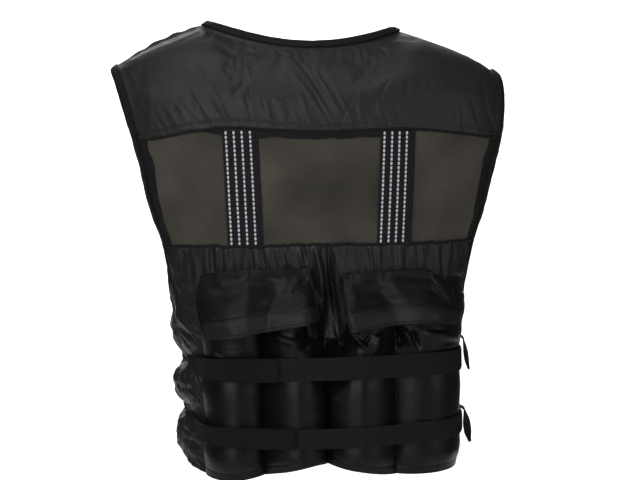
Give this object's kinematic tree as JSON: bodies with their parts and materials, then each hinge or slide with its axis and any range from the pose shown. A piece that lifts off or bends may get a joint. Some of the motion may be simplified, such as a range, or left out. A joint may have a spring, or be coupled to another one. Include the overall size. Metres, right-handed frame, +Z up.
{
  "type": "weighted vest",
  "caption": "Padded training vest in its worn shape, with a mesh back, reflective webbing, filled weight pockets under flaps and elastic belts round the waist.",
  "frame": {"origin": "where the vest sits: midway between the shoulders, about 10 mm under the shoulder straps' highest point", "axes": "+Z up, +Y the wearer's front, +X the wearer's right; the weight pockets are on the back, at -Y"},
  "size_m": [0.4347, 0.2572, 0.5021],
  "materials": {
    "satin": "lined black satin with a soft sheen",
    "pocket_satin": "black satin, a little glossier over the filled columns",
    "mesh": "fine see-through knitted mesh",
    "binding": "woven black tape",
    "webbing": "black webbing with rows of white reflective dashes",
    "elastic": "ribbed black elastic with hook ends"
  },
  "bodies": {
    "root": {"back_yoke": "satin", "front_yoke": "satin", "back_panel": "satin", "front_panel": "satin", "weight_pocket_left": "pocket_satin", "weight_pocket_right": "pocket_satin", "pocket_flap_left": "pocket_satin", "pocket_flap_right": "pocket_satin", "back_mesh": "mesh", "neck_binding": "binding", "armhole_binding_left": "binding", "armhole_binding_right": "binding", "reflective_strip_left": "webbing", "reflective_strip_right": "webbing", "belt_upper": "elastic", "belt_lower": "elastic", "belt_tab_upper": "elastic", "belt_tab_lower": "elastic", "strap_tail_upper": "elastic", "strap_tail_lower": "elastic"}
  },
  "joints": []
}
